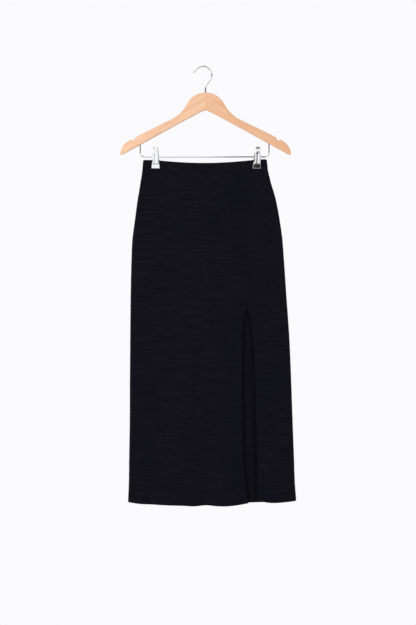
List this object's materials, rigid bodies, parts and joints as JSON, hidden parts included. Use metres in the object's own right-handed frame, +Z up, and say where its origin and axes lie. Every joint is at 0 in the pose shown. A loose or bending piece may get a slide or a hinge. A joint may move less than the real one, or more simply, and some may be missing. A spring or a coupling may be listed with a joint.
{
  "type": "maxi skirt on a clip hanger",
  "caption": "Long straight black knit skirt with a plain waistband and a slit at the front, held by the clips of a wooden hanger with a wire hook and bar.",
  "frame": {"origin": "inner top of the hook, where it rests on a rail", "axes": "+Z up, +X to the right of a viewer who faces the skirt's front, +Y from the front to the back"},
  "size_m": [0.4582, 0.0253, 1.1445],
  "materials": {
    "black_knit": "matt fine knit with a faint crosswise slub",
    "beech": "clear satin lacquer",
    "chrome": "polished"
  },
  "bodies": {
    "root": {"waistband": "black_knit", "front_panel": "black_knit", "side_front_panel": "black_knit", "back_panel": "black_knit", "hanger_wood": "beech", "hanger_hook": "chrome", "hanger_bar": "chrome", "clip_left_front": "chrome", "clip_left_back": "chrome", "clip_left_spring": "chrome", "clip_right_front": "chrome", "clip_right_back": "chrome", "clip_right_spring": "chrome"}
  },
  "joints": []
}
